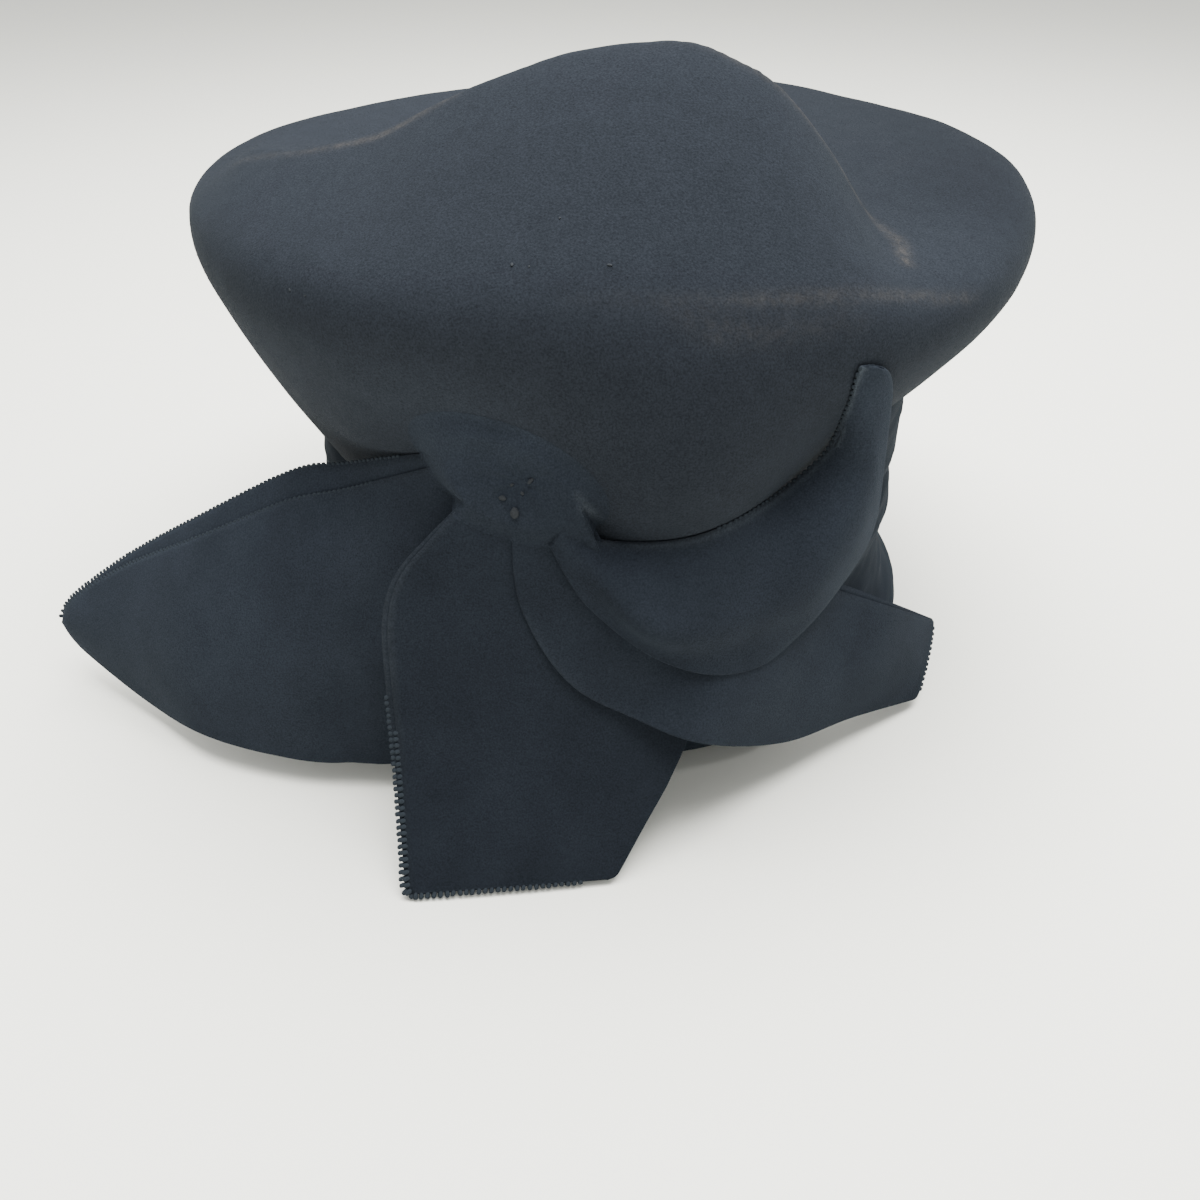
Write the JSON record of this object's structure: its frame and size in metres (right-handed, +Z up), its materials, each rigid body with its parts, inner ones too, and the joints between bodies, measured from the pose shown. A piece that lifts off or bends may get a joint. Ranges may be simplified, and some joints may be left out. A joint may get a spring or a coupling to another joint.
{
  "type": "velvet hat",
  "caption": "Dark felt hat with a domed crown raised to a peaked front fold, a draped velvet headband and a folded velvet ribbon bow at the front.",
  "frame": {"origin": "centre of the bounding box on the floor plane the hat rests on", "axes": "+X towards the wearer's left, along the bow; -Y the front with the bow; +Z up through the crown"},
  "size_m": [0.2928, 0.2672, 0.1843],
  "materials": {
    "felt": "napped fur felt, matt",
    "velvet_band": "draped velvet, matt pile",
    "velvet_ribbon": "velvet ribbon with picot edges"
  },
  "bodies": {
    "root": {"crown": "felt", "headband": "velvet_band", "bow_knot": "velvet_ribbon", "bow_wing_left": "velvet_ribbon", "bow_tail_front": "velvet_ribbon", "bow_petal_right_lower": "velvet_ribbon", "bow_petal_right_upper": "velvet_ribbon"}
  },
  "joints": []
}
